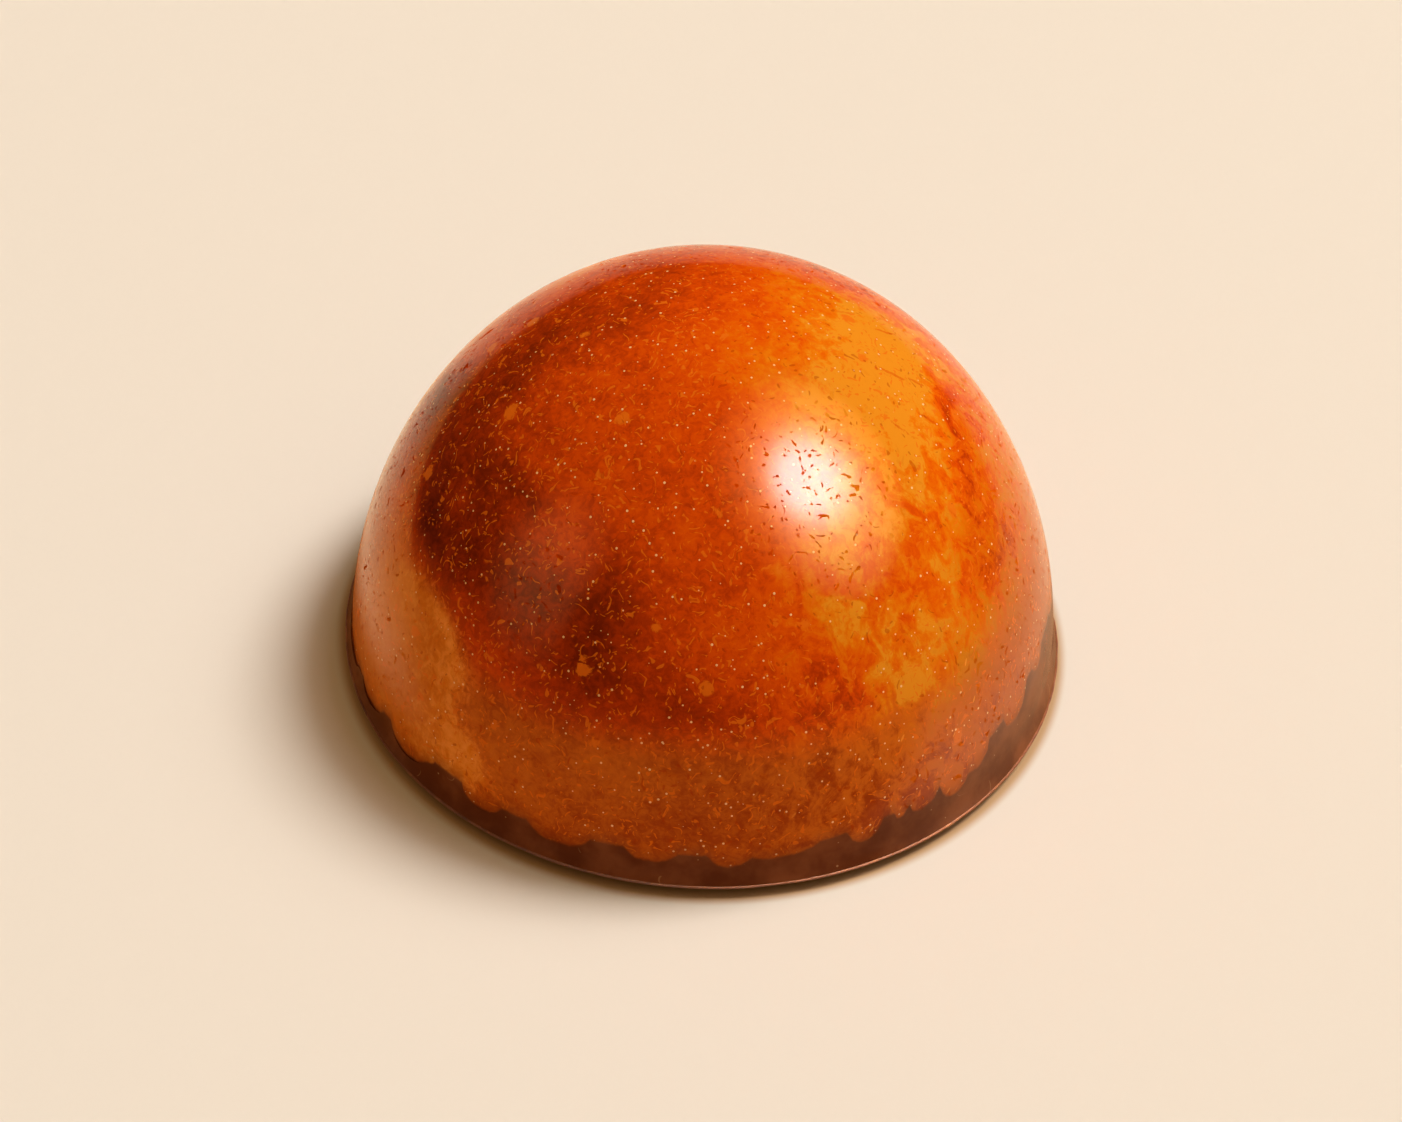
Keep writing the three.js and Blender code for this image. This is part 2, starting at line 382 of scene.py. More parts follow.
TAN_CLOUDS = [cloud(*row) for row in TAN_PATCHES] + back_clouds(11, 3, 3.4, 0.7)

tone = film.data.attributes.new("tone", "FLOAT", "POINT")
tan_share = film.data.attributes.new("tan_share", "FLOAT", "POINT")
above_edge = film.data.attributes.new("above_edge", "FLOAT", "POINT")
for vertex in film.data.vertices:
    tone.data[vertex.index].value = MIDDLING_TONE + density(TONE_CLOUDS, vertex.co)
    tan_share.data[vertex.index].value = density(TAN_CLOUDS, vertex.co)
    above_edge.data[vertex.index].value = (vertex.co.z - film_edge(azimuth_of(vertex.co))) / MM
print(len(TONE_CLOUDS), "clouds of tone and", len(TAN_CLOUDS), "of tan")

# %% [markdown]
# ## The film's thickness
#
# A Solidify modifier thickens the sheet inwards, so the outer face stays on the mould's face. The faces
# round the rim close it against the ledge.

# %% Film thickness
deselect_all()
film.select_set(True)
bpy.context.view_layer.objects.active = film
solidify = film.modifiers.new("thickness", "SOLIDIFY")
solidify.thickness = FILM_THICKNESS
solidify.offset = -1
bpy.ops.object.modifier_apply(modifier=solidify.name)
bpy.ops.object.shade_smooth_by_angle(angle=SMOOTH_ANGLE)
print("film:", len(film.data.polygons), "faces")

# %% [markdown]
# ## The cap and its lip
#
# The cap is scraped off at the mould's rim and bulges a little as it sets. What the scraper leaves stands
# out as a thin lip, and the bonbon stands on a smaller foot in the lip's shade. A disc is extruded up in
# small steps: the bulge, the thin lip, and the top, which the chocolate covers. Then the lip is made
# uneven: it wanders in and out, and here and there a crumb has broken off.

# %% Cap
CAP_SEGMENTS = 720
BULGE_STEPS = 5
BULGE_REACH = 0.67 * MM
BULGE_TOP = -0.04 * MM
CAP_SMOOTH_ANGLE = math.radians(50)
LIP_STEPS = [
    (LIP_RADIUS - 0.06 * MM, 0), (LIP_RADIUS, 0.04 * MM), (LIP_RADIUS - 0.02 * MM, 0.09 * MM),
    (LIP_RADIUS - 0.08 * MM, 0.12 * MM), (CAP_RADIUS, 0.125 * MM), (CAP_RADIUS, 0.22 * MM),
    (CAP_RADIUS - 0.02 * MM, CAP_TOP),
]


def bulge_step(i):
    """Radius and height of one step of the bulge, which rises from the foot as a quarter of an ellipse."""
    rise = QUARTER_TURN * i / BULGE_STEPS
    return FOOT_RADIUS + BULGE_REACH * math.sin(rise), BULGE_TOP - (RIM_HEIGHT + BULGE_TOP) * math.cos(rise)


deselect_all()
bpy.ops.mesh.primitive_circle_add(
    vertices=CAP_SEGMENTS, radius=FOOT_RADIUS, fill_type="NGON", location=(0, 0, -RIM_HEIGHT))
cap = bpy.context.active_object
cap.name = cap.data.name = "chipped_cap"
bpy.ops.object.transform_apply(location=True)
bpy.ops.object.mode_set(mode="EDIT")
bpy.ops.mesh.select_all(action="SELECT")
radius, height = FOOT_RADIUS, -RIM_HEIGHT
for next_radius, next_height in [bulge_step(i + 1) for i in range(BULGE_STEPS)] + LIP_STEPS:
    bpy.ops.mesh.extrude_region_move(TRANSFORM_OT_translate={"value": (0, 0, next_height - height)})
    grow = next_radius / radius
    bpy.ops.transform.resize(value=(grow, grow, 1))
    radius, height = next_radius, next_height
bpy.ops.mesh.select_all(action="SELECT")
bpy.ops.mesh.normals_make_consistent(inside=False)
bpy.ops.object.mode_set(mode="OBJECT")

LIP_WIDTH = 0.2 * MM
WANDER_LENGTH = 1.6 * MM
WANDER_DEPTH = 0.03 * MM
WANDER_RISE = 0.015 * MM
CHIP_LENGTH = 0.7 * MM
CHIP_DEPTH = 0.16 * MM
CHIP_LEVEL = 0.3
for vertex in cap.data.vertices:
    reach = Vector((vertex.co.x, vertex.co.y, 0))
    if reach.length < LIP_RADIUS - LIP_WIDTH:
        continue
    wander = noise.noise(vertex.co / WANDER_LENGTH)
    chip = max(0, noise.noise(vertex.co / CHIP_LENGTH + Vector((9, 0, 0))) - CHIP_LEVEL)
    vertex.co -= reach.normalized() * (WANDER_DEPTH * abs(wander) + CHIP_DEPTH * chip)
    vertex.co.z += WANDER_RISE * wander
bpy.ops.object.shade_smooth_by_angle(angle=CAP_SMOOTH_ANGLE)
print("cap:", len(cap.data.polygons), "faces")

# %% Lift on to the foot
for piece in (film, chocolate, cap):
    piece.data.transform(Matrix.Translation(rim_lift))
print("lowest point, millimetres:", round(min(vertex.co.z for vertex in cap.data.vertices) / MM, 3))

# %% [markdown]
# ## Tools for the finishes
#
# Colours are picked as the eye sees them, from 0 to 255, and turned into the linear light that a shader
# counts in. The patterns are measured in millimetres, so the Object coordinates are multiplied by a
# thousand once.

# %% Material tools
def paint(red, green, blue):
    """A colour as seen, 0 to 255, as the linear colour that a shader wants."""
    def linear(part):
        part = part / 255
        return part / 12.92 if part <= 0.04045 else ((part + 0.055) / 1.055) ** 2.4
    return linear(red), linear(green), linear(blue), 1


def start_material(name):
    """An empty node material with a Principled shader. Returns the material, its nodes, and the shader."""
    material = bpy.data.materials.new(name)
    material.use_nodes = True
    tree = material.node_tree
    tree.nodes.clear()
    output = tree.nodes.new("ShaderNodeOutputMaterial")
    shader = tree.nodes.new("ShaderNodeBsdfPrincipled")
    tree.links.new(shader.outputs["BSDF"], output.inputs["Surface"])
    return material, tree, shader


def start_group(name, inputs, outputs):
    """An empty shader group. inputs are (name, socket type, value) and outputs are (name, socket type)."""
    group = bpy.data.node_groups.new(name, "ShaderNodeTree")
    for socket_name, kind, value in inputs:
        socket = group.interface.new_socket(socket_name, in_out="INPUT", socket_type=kind)
        if value is not None:
            socket.default_value = value
    for socket_name, kind in outputs:
        group.interface.new_socket(socket_name, in_out="OUTPUT", socket_type=kind)
    return group, group.nodes.new("NodeGroupInput"), group.nodes.new("NodeGroupOutput")


def feed(tree, socket, value):
    """Links an output into a socket, or sets a plain value on it."""
    if isinstance(value, bpy.types.NodeSocket):
        tree.links.new(value, socket)
    else:
        socket.default_value = value


def math_node(tree, operation, first, second=0.0, clamp=False):
    """A Math node's output."""
    node = tree.nodes.new("ShaderNodeMath")
    node.operation = operation
    node.use_clamp = clamp
    feed(tree, node.inputs[0], first)
    feed(tree, node.inputs[1], second)
    return node.outputs[0]


def vector_node(tree, operation, first, second):
    """A Vector Math node's output: a number for LENGTH and DOT_PRODUCT, else a vector."""
    node = tree.nodes.new("ShaderNodeVectorMath")
    node.operation = operation
    feed(tree, node.inputs[0], first)
    feed(tree, node.inputs["Scale"] if operation == "SCALE" else node.inputs[1], second)
    return node.outputs["Value" if operation in ("LENGTH", "DOT_PRODUCT") else "Vector"]


def ramp_node(tree, value, low, high, to_low=0.0, to_high=1.0):
    """A smooth step from to_low, where value is low, to to_high, where it is high."""
    node = tree.nodes.new("ShaderNodeMapRange")
    node.interpolation_type = "SMOOTHSTEP"
    feed(tree, node.inputs["Value"], value)
    feed(tree, node.inputs["From Min"], low)
    feed(tree, node.inputs["From Max"], high)
    feed(tree, node.inputs["To Min"], to_low)
    feed(tree, node.inputs["To Max"], to_high)
    return node.outputs["Result"]


def mix_node(tree, share, first, second):
    """A colour mix's output."""
    node = tree.nodes.new("ShaderNodeMix")
    node.data_type = "RGBA"
    feed(tree, node.inputs["Factor"], share)
    feed(tree, node.inputs[6], first)
    feed(tree, node.inputs[7], second)
    return node.outputs[2]


def noise_node(tree, vector, scale, detail=2.0, roughness=0.5, distortion=0.0):
    """A Noise texture node. Its outputs are Fac and Color."""
    node = tree.nodes.new("ShaderNodeTexNoise")
    feed(tree, node.inputs["Vector"], vector)
    feed(tree, node.inputs["Scale"], scale)
    feed(tree, node.inputs["Detail"], detail)
    feed(tree, node.inputs["Roughness"], roughness)
    feed(tree, node.inputs["Distortion"], distortion)
    return node


def group_node(tree, group, **values):
    """A group placed in a tree. A value is given by its socket's name, with _ for a space."""
    node = tree.nodes.new("ShaderNodeGroup")
    node.node_tree = group
    for name, value in values.items():
        feed(tree, node.inputs[name.replace("_", " ")], value)
    return node


def millimetres(tree):
    """The object's own coordinates in millimetres, with the height counted from the rim."""
    coordinates = tree.nodes.new("ShaderNodeTexCoord")
    scaled = vector_node(tree, "SCALE", coordinates.outputs["Object"], 1 / MM)
    return vector_node(tree, "SUBTRACT", scaled, (0.0, 0.0, RIM_HEIGHT / MM))


print("tools for nodes, ramps, noise and groups")

# %% Pattern tools
def times(tree, first, second):
    """The product of two outputs or numbers."""
    return math_node(tree, "MULTIPLY", first, second)


def larger(tree, *values):
    """The largest of several outputs."""
    result = values[0]
    for value in values[1:]:
        result = math_node(tree, "MAXIMUM", result, value)
    return result


def toned(tree, value, stops):
    """A Color Ramp's output, with the given stops."""
    node = tree.nodes.new("ShaderNodeValToRGB")
    elements = node.color_ramp.elements
    while len(elements) < len(stops):
        elements.new(0.5)
    for element, (position, colour) in zip(elements, stops):
        element.position = position
        element.color = colour
    feed(tree, node.inputs["Fac"], value)
    return node.outputs["Color"]


def attribute_node(tree, name):
    """The number that a mesh attribute holds."""
    node = tree.nodes.new("ShaderNodeAttribute")
    node.attribute_name = name
    return node.outputs["Fac"]


def centred(tree, value, strength):
    """A noise from 0 to 1 moved to lie round zero, times a strength."""
    return times(tree, math_node(tree, "SUBTRACT", value, 0.5), strength)


def total(tree, *values):
    """The sum of several outputs."""
    result = values[0]
    for value in values[1:]:
        result = math_node(tree, "ADD", result, value)
    return result


def round_the_dome(tree, parts):
    """How far round the dome a point is, in millimetres along its foot."""
    towards_front = times(tree, parts.outputs["Y"], -1.0)
    return times(tree, math_node(tree, "ARCTAN2", parts.outputs["X"], towards_front), DOME_RADIUS / MM)


def combined(tree, first, second):
    """Two numbers as a flat vector."""
    node = tree.nodes.new("ShaderNodeCombineXYZ")
    feed(tree, node.inputs["X"], first)
    feed(tree, node.inputs["Y"], second)
    return node.outputs[0]


def over(tree, base, mask, strength, top):
    """A colour laid over another where a mask is, at a strength."""
    return mix_node(tree, times(tree, mask, strength), base, top)


def shaken(tree, vector, noise_texture, reach):
    """A place moved about by a noise's colour."""
    shift = vector_node(tree, "SUBTRACT", noise_texture.outputs["Color"], (0.5, 0.5, 0.5))
    return vector_node(tree, "ADD", vector, vector_node(tree, "SCALE", shift, reach))


def slanting(tree, around, upwards, along, across, squeeze):
    """A flat place that runs along and across a leaning line, squeezed so that round dots become dashes."""
    first = total(tree, times(tree, around, along[0]), times(tree, upwards, along[1]))
    second = total(tree, times(tree, around, across[0]), times(tree, upwards, across[1]))
    return combined(tree, times(tree, first, squeeze), second)


print("tools for tones, places and masks")

# %% [markdown]
# ## Specks, curls and chocolate
#
# Three effects are used more than once, so each is a group. Specks are round dots, one for some of the
# cells of a Voronoi texture: air bubbles, pinholes and flecks differ only in size and share. Curls are the
# short bent hairs that a brush leaves in the cocoa butter. Each is a piece of a ring round the middle of
# its cell, on the side that the cell's random colour points to, and it tapers to both ends. Chocolate is
# never one brown, so its tone wanders between two.

# %% Shared groups
def build_specks():
    """A mask of round dots. Size is a dot's radius in cells, and Share is how many cells have one."""
    group, inside, out = start_group(
        "Specks",
        [("Vector", "NodeSocketVector", None), ("Cells", "NodeSocketFloat", 3.0),
         ("Size", "NodeSocketFloat", 0.15), ("Share", "NodeSocketFloat", 0.5),
         ("Softness", "NodeSocketFloat", 0.04)],
        [("Mask", "NodeSocketFloat")])
    cells = group.nodes.new("ShaderNodeTexVoronoi")
    group.links.new(inside.outputs["Vector"], cells.inputs["Vector"])
    group.links.new(inside.outputs["Cells"], cells.inputs["Scale"])
    parts = group.nodes.new("ShaderNodeSeparateColor")
    group.links.new(cells.outputs["Color"], parts.inputs[0])
    size = times(group, inside.outputs["Size"], ramp_node(group, parts.outputs[1], 0, 1, 0.45, 1))
    outer = math_node(group, "ADD", size, inside.outputs["Softness"])
    dot = ramp_node(group, cells.outputs["Distance"], size, outer, 1, 0)
    chosen = math_node(group, "LESS_THAN", parts.outputs[0], inside.outputs["Share"])
    group.links.new(times(group, dot, chosen), out.inputs["Mask"])
    return group


def build_curls():
    """A mask of short thin arcs, one in some of the cells. Radius and Width are in cells, Arc is 0 to 1."""
    group, inside, out = start_group(
        "Curls",
        [("Vector", "NodeSocketVector", None), ("Cells", "NodeSocketFloat", 1.6),
         ("Radius", "NodeSocketFloat", 0.3), ("Width", "NodeSocketFloat", 0.04),
         ("Arc", "NodeSocketFloat", 0.4), ("Share", "NodeSocketFloat", 0.5)],
        [("Mask", "NodeSocketFloat")])
    cells = group.nodes.new("ShaderNodeTexVoronoi")
    group.links.new(inside.outputs["Vector"], cells.inputs["Vector"])
    group.links.new(inside.outputs["Cells"], cells.inputs["Scale"])
    parts = group.nodes.new("ShaderNodeSeparateColor")
    group.links.new(cells.outputs["Color"], parts.inputs[0])
    from_middle = vector_node(group, "SUBTRACT", inside.outputs["Vector"], cells.outputs["Position"])
    outward = vector_node(group, "NORMALIZE", from_middle, (0.0, 0.0, 0.0))
    heading = vector_node(group, "SUBTRACT", cells.outputs["Color"], (0.5, 0.5, 0.5))
    heading = vector_node(group, "NORMALIZE", heading, (0.0, 0.0, 0.0))
    facing = vector_node(group, "DOT_PRODUCT", outward, heading)
    within = ramp_node(group, facing, math_node(group, "SUBTRACT", 1.0, inside.outputs["Arc"]), 1)
    radius = times(group, inside.outputs["Radius"], ramp_node(group, parts.outputs[1], 0, 1, 0.6, 1.2))
    away = math_node(group, "ABSOLUTE", math_node(group, "SUBTRACT", cells.outputs["Distance"], radius))
    width = times(group, inside.outputs["Width"], math_node(group, "POWER", within, 0.5))
    line = ramp_node(group, away, times(group, width, 0.4), math_node(group, "ADD", width, 0.001), 1, 0)
    chosen = math_node(group, "LESS_THAN", parts.outputs[2], inside.outputs["Share"])
    drawn = times(group, line, math_node(group, "GREATER_THAN", within, 0.0))
    group.links.new(times(group, drawn, chosen), out.inputs["Mask"])
    return group


def build_chocolate_tone():
    """Tempered chocolate's colour, wandering between a darker and a lighter brown."""
    group, inside, out = start_group(
        "Chocolate tone",
        [("Vector", "NodeSocketVector", None), ("Dark", "NodeSocketColor", paint(98, 46, 20)),
         ("Light", "NodeSocketColor", paint(128, 68, 36))],
        [("Color", "NodeSocketColor")])
    drift = noise_node(group, inside.outputs["Vector"], 0.35, 4.0, 0.6)
    share = ramp_node(group, drift.outputs["Fac"], 0.35, 0.65)
    tone = mix_node(group, share, inside.outputs["Dark"], inside.outputs["Light"])
    group.links.new(tone, out.inputs["Color"])
    return group


SPECKS = build_specks()
CURLS = build_curls()
CHOCOLATE_TONE = build_chocolate_tone()
print("groups:", SPECKS.name + ",", CURLS.name + ",", CHOCOLATE_TONE.name)

# %% [markdown]
# ## The marbled film
#
# Cocoa butter dyes are strong and clear, so the film goes from oxblood through orange-red to amber as its
# tone rises. Low on the dome it is thinner and browner, and at the very edge it fades out. Over it come
# curled hairs of gold, flecks, red dashes, pale dashes low on the right that are painted glints, and bubbles
# painted with a bright glint. The mould leaves a mirror gloss, apart from pinholes, pits and grooves. These
# reflect nothing, so they hardly show on the film but stand out dark in the white highlight. All the gloss
# is in the shader's coat, so a pit only has to take the coat away.

# %% Film colours
TONE_COLOURS = [
    (0.00, paint(92, 22, 1)), (0.20, paint(138, 39, 2)), (0.38, paint(184, 55, 2)), (0.52, paint(214, 70, 2)),
    (0.64, paint(224, 84, 2)), (0.76, paint(227, 101, 3)), (0.88, paint(229, 119, 9)),
    (1.00, paint(230, 138, 26)),
]
TAN = paint(238, 124, 22)
TAN_PALE = paint(254, 150, 54)
TAN_DARK = paint(150, 66, 12)
LOW_BROWN = paint(206, 102, 22)
LOW_DARK = paint(160, 62, 8)
RIGHT_OCHRE = paint(206, 106, 3)
RIGHT_RUST = paint(178, 78, 2)
LEFT_RUST = paint(204, 96, 4)
GOLD = paint(230, 108, 16)
PALE_GLINT = paint(248, 152, 50)
GLINT = paint(255, 200, 130)
PINHOLE = paint(172, 52, 2)
RED_DASH = paint(214, 80, 3)
print(len(TONE_COLOURS), "colours of tone")

# %% Film tone
# Where each change begins and ends. The first is on a noise's scale from 0 to 1. The others are in
# millimetres, to the right of the middle or above the rim.
BLOTCHES = (0.38, 0.62)
RIGHT_SIDE = (0, 6)
FAR_RIGHT = (9, 14)
LOW_BAND = (5.6, 7.8)
RIGHT_LEVELS = (5.5, 10)
FAR_LEFT = (-12, -9.5)
LEFT_LEVELS = (7, 9.5)

film_material, tree, shader = start_material("marbled_film")
place = millimetres(tree)
parts = tree.nodes.new("ShaderNodeSeparateXYZ")
tree.links.new(place, parts.inputs[0])
rightwards = parts.outputs["X"]
upwards = parts.outputs["Z"]
around = round_the_dome(tree, parts)
broad = noise_node(tree, place, 0.35, 5.0, 0.65, 0.4)
fine = noise_node(tree, place, 1.6, 6.0, 0.7, 0.6)
mottle = noise_node(tree, place, 2.4, 4.0, 0.6, 1.2)
dabs = noise_node(tree, vector_node(tree, "MULTIPLY", place, (1.0, 1.0, 0.6)), 0.9, 6.0, 0.62, 0.8)
streaks = noise_node(tree, combined(tree, around, times(tree, upwards, 0.22)), 2.0, 4.0, 0.6, 0.5)
dabbed = centred(tree, ramp_node(tree, dabs.outputs["Fac"], *BLOTCHES), 0.3)
streaked = centred(tree, streaks.outputs["Fac"], 0.5)
wobble = total(
    tree, centred(tree, broad.outputs["Fac"], 0.35), centred(tree, fine.outputs["Fac"], 0.42),
    centred(tree, ramp_node(tree, mottle.outputs["Fac"], *BLOTCHES), 0.1),
    times(tree, dabbed, ramp_node(tree, rightwards, *RIGHT_SIDE)),
    times(tree, streaked, ramp_node(tree, rightwards, *FAR_RIGHT)))
tone_here = total(tree, attribute_node(tree, "tone"), wobble)
colour = toned(tree, tone_here, TONE_COLOURS)

tan = ramp_node(tree, total(tree, attribute_node(tree, "tan_share"), wobble), 0.2, 0.7)
tan_colour = mix_node(tree, ramp_node(tree, fine.outputs["Fac"], 0.35, 0.65), TAN, TAN_PALE)
tan_colour = mix_node(tree, ramp_node(tree, tone_here, 0.0, 0.36), TAN_DARK, tan_colour)
colour = mix_node(tree, tan, colour, tan_colour)

ragged_level = total(tree, upwards, times(tree, wobble, 3))
ragged_side = total(tree, rightwards, times(tree, wobble, 6))
low = ramp_node(tree, ragged_level, *LOW_BAND, 0.85, 0)
low_colour = mix_node(tree, ramp_node(tree, tone_here, 0.3, 0.7), LOW_DARK, LOW_BROWN)
colour = over(tree, colour, low, ramp_node(tree, tan, 0, 1, 1, 0.2), low_colour)
ochre = ramp_node(tree, ragged_side, *FAR_RIGHT, 0, 0.8)
ochre_colour = mix_node(tree, ramp_node(tree, upwards, *RIGHT_LEVELS), RIGHT_RUST, RIGHT_OCHRE)
colour = mix_node(tree, ochre, colour, ochre_colour)
rust = ramp_node(tree, ragged_side, *FAR_LEFT, 0.7, 0)
colour = over(tree, colour, rust, ramp_node(tree, upwards, *LEFT_LEVELS, 1, 0), LEFT_RUST)
print("tone:", len(tree.nodes), "nodes")

# %% Film details
# How much the way round and the height count, first along a leaning line and then across it.
RISING = ((0.62, 0.78), (0.78, -0.62))
FALLING = ((0.5, -0.87), (0.87, 0.5))
DASH_LEVELS = (6.5, 9.5)

bent = shaken(tree, place, noise_node(tree, place, 1.2, 1.0), 1.4)
elsewhere = vector_node(tree, "ADD", bent, (17.0, 5.0, 29.0))
drawn_out = vector_node(tree, "MULTIPLY", elsewhere, (1.2, 1.2, 0.6))
curls = group_node(tree, CURLS, Vector=bent, Cells=1.3, Radius=0.42, Width=0.085, Arc=0.3, Share=1.0)
small_curls = group_node(
    tree, CURLS, Vector=elsewhere, Cells=2.1, Radius=0.4, Width=0.115, Arc=0.35, Share=1.0)
commas = group_node(tree, CURLS, Vector=drawn_out, Cells=2.6, Radius=0.38, Width=0.145, Arc=0.4, Share=0.9)
hairs = larger(tree, curls.outputs["Mask"], small_curls.outputs["Mask"], commas.outputs["Mask"])
hair_strength = ramp_node(tree, attribute_node(tree, "tone"), 0.1, 0.6, 0.75, 0.8)
colour = over(tree, colour, hairs, hair_strength, GOLD)
ragged = shaken(tree, place, fine, 0.9)
flecks = group_node(tree, SPECKS, Vector=ragged, Cells=0.42, Size=0.11, Share=0.9, Softness=0.05)
colour = over(tree, colour, flecks.outputs["Mask"], 0.85, GOLD)

# Pale slanting dashes low on the right are painted glints.
dash_place = slanting(tree, around, upwards, *RISING, 0.32)
glint_dashes = group_node(tree, SPECKS, Vector=dash_place, Cells=2.6, Size=0.11, Share=0.5, Softness=0.06)
dash_strength = times(
    tree, ramp_node(tree, rightwards, 0, 8, 0, 0.6), ramp_node(tree, upwards, *DASH_LEVELS, 1, 0))
colour = over(tree, colour, glint_dashes.outputs["Mask"], dash_strength, PALE_GLINT)
red_place = shaken(tree, slanting(tree, around, upwards, *FALLING, 0.35), fine, 0.6)
red_dashes = group_node(tree, SPECKS, Vector=red_place, Cells=1.4, Size=0.15, Share=0.6, Softness=0.1)
red_strength = times(
    tree, ramp_node(tree, rightwards, 2, 7, 0, 0.6), ramp_node(tree, upwards, *DASH_LEVELS))
colour = over(tree, colour, red_dashes.outputs["Mask"], red_strength, RED_DASH)

bubbles = group_node(tree, SPECKS, Vector=place, Cells=2.7, Size=0.125, Share=0.85, Softness=0.03)
# Each bubble is painted with a bright glint colour: a painted highlight.
colour = over(tree, colour, bubbles.outputs["Mask"], 0.9, GLINT)
pinholes = group_node(tree, SPECKS, Vector=drawn_out, Cells=2.2, Size=0.2, Share=0.8, Softness=0.03)
colour = over(tree, colour, pinholes.outputs["Mask"], 0.5, PINHOLE)
pits = group_node(tree, SPECKS, Vector=drawn_out, Cells=2.4, Size=0.27, Share=0.6, Softness=0.03)
grooves = group_node(tree, CURLS, Vector=elsewhere, Cells=1.6, Radius=0.4, Width=0.085, Arc=0.22, Share=0.9)
dull = larger(tree, pits.outputs["Mask"], grooves.outputs["Mask"])
colour = over(tree, colour, dull, 0.12, PINHOLE)
holes = larger(tree, pinholes.outputs["Mask"], dull)

fade = total(tree, attribute_node(tree, "above_edge"), centred(tree, fine.outputs["Fac"], 0.3))
under = group_node(tree, CHOCOLATE_TONE, Vector=place)
colour = over(tree, colour, ramp_node(tree, fade, 0.1, 0.9, 1, 0), 0.4, under.outputs["Color"])
colour = mix_node(tree, ramp_node(tree, fade, -0.02, 0.2), under.outputs["Color"], colour)
print("details:", len(tree.nodes), "nodes")

# %% Film gloss
tree.links.new(colour, shader.inputs["Base Color"])
shader.inputs["Roughness"].default_value = 0.5
tree.links.new(ramp_node(tree, holes, 0, 1, 0.6, 0), shader.inputs["Coat Weight"])
shader.inputs["Coat Roughness"].default_value = 0.1
shader.inputs["Coat IOR"].default_value = 1.45
shader.inputs["IOR"].default_value = 1.5
shader.inputs["Specular IOR Level"].default_value = 0

peel = noise_node(tree, place, 1.6, 2.0)
grain = noise_node(tree, place, 7.0, 2.0)
relief = total(
    tree, times(tree, peel.outputs["Fac"], 0.25), times(tree, grain.outputs["Fac"], 0.08),
    times(tree, bubbles.outputs["Mask"], 1.1), times(tree, holes, -0.6))
bump = tree.nodes.new("ShaderNodeBump")
bump.inputs["Strength"].default_value = 0.6
bump.inputs["Distance"].default_value = 0.02 * MM
tree.links.new(relief, bump.inputs["Height"])
tree.links.new(bump.outputs["Normal"], shader.inputs["Normal"])
film.data.materials.append(film_material)
print("film material:", len(tree.nodes), "nodes")

# %% [markdown]
# ## Chocolate and lip
#
# The bare chocolate has the mould's shine too, a little softer. The lip is painted a little paler and
# coppery, with paler patches along it: painted light, which the thin scraped lip catches. Below the rim the
# cap is painted almost black: painted shade under the lip.

# %% Chocolate material
CREAM_DOT = paint(190, 130, 85)

chocolate_material, tree, shader = start_material("dark_chocolate")
place = millimetres(tree)
tone = group_node(tree, CHOCOLATE_TONE, Vector=place)
bubbles = group_node(tree, SPECKS, Vector=place, Cells=1.6, Size=0.07, Share=0.7, Softness=0.03)
colour = over(tree, tone.outputs["Color"], bubbles.outputs["Mask"], 0.6, CREAM_DOT)
scratches = group_node(tree, CURLS, Vector=place, Cells=0.9, Radius=0.4, Width=0.02, Arc=0.3, Share=0.5)
colour = over(tree, colour, scratches.outputs["Mask"], 0.35, CREAM_DOT)
tree.links.new(colour, shader.inputs["Base Color"])
shader.inputs["Roughness"].default_value = 0.45
shader.inputs["Specular IOR Level"].default_value = 0
shader.inputs["Coat Weight"].default_value = 0.52
shader.inputs["Coat Roughness"].default_value = 0.15
shader.inputs["Coat IOR"].default_value = 1.46
shader.inputs["IOR"].default_value = 1.46
chocolate.data.materials.append(chocolate_material)
print("chocolate material:", len(tree.nodes), "nodes")

# %% Cap material
COPPER = paint(128, 66, 34)
COPPER_HIGHLIGHT = paint(156, 88, 42)
COPPER_DARK = paint(92, 42, 22)
FOOT_PAINTED_SHADE = paint(28, 8, 1)

cap_material, tree, shader = start_material("scraped_cap")
place = millimetres(tree)
parts = tree.nodes.new("ShaderNodeSeparateXYZ")
tree.links.new(place, parts.inputs[0])
# The lip's copper and its paler patches are painted light that the thin lip catches.
lip_light_patches = noise_node(tree, vector_node(tree, "MULTIPLY", place, (1.0, 1.0, 3.0)), 0.9, 5.0, 0.7)
colour = mix_node(tree, ramp_node(tree, lip_light_patches.outputs["Fac"], 0.3, 0.55), COPPER_DARK, COPPER)
colour = mix_node(tree, ramp_node(tree, lip_light_patches.outputs["Fac"], 0.56, 0.62), colour, COPPER_HIGHLIGHT)
# Below the rim the cap is painted almost black: painted shade under the lip.
colour = mix_node(tree, ramp_node(tree, parts.outputs["Z"], -0.02, 0.02), FOOT_PAINTED_SHADE, colour)
tree.links.new(colour, shader.inputs["Base Color"])
shader.inputs["Roughness"].default_value = 0.5
shader.inputs["IOR"].default_value = 1.46
cap.data.materials.append(cap_material)
print("materials:", ", ".join(material.name for material in bpy.data.materials))
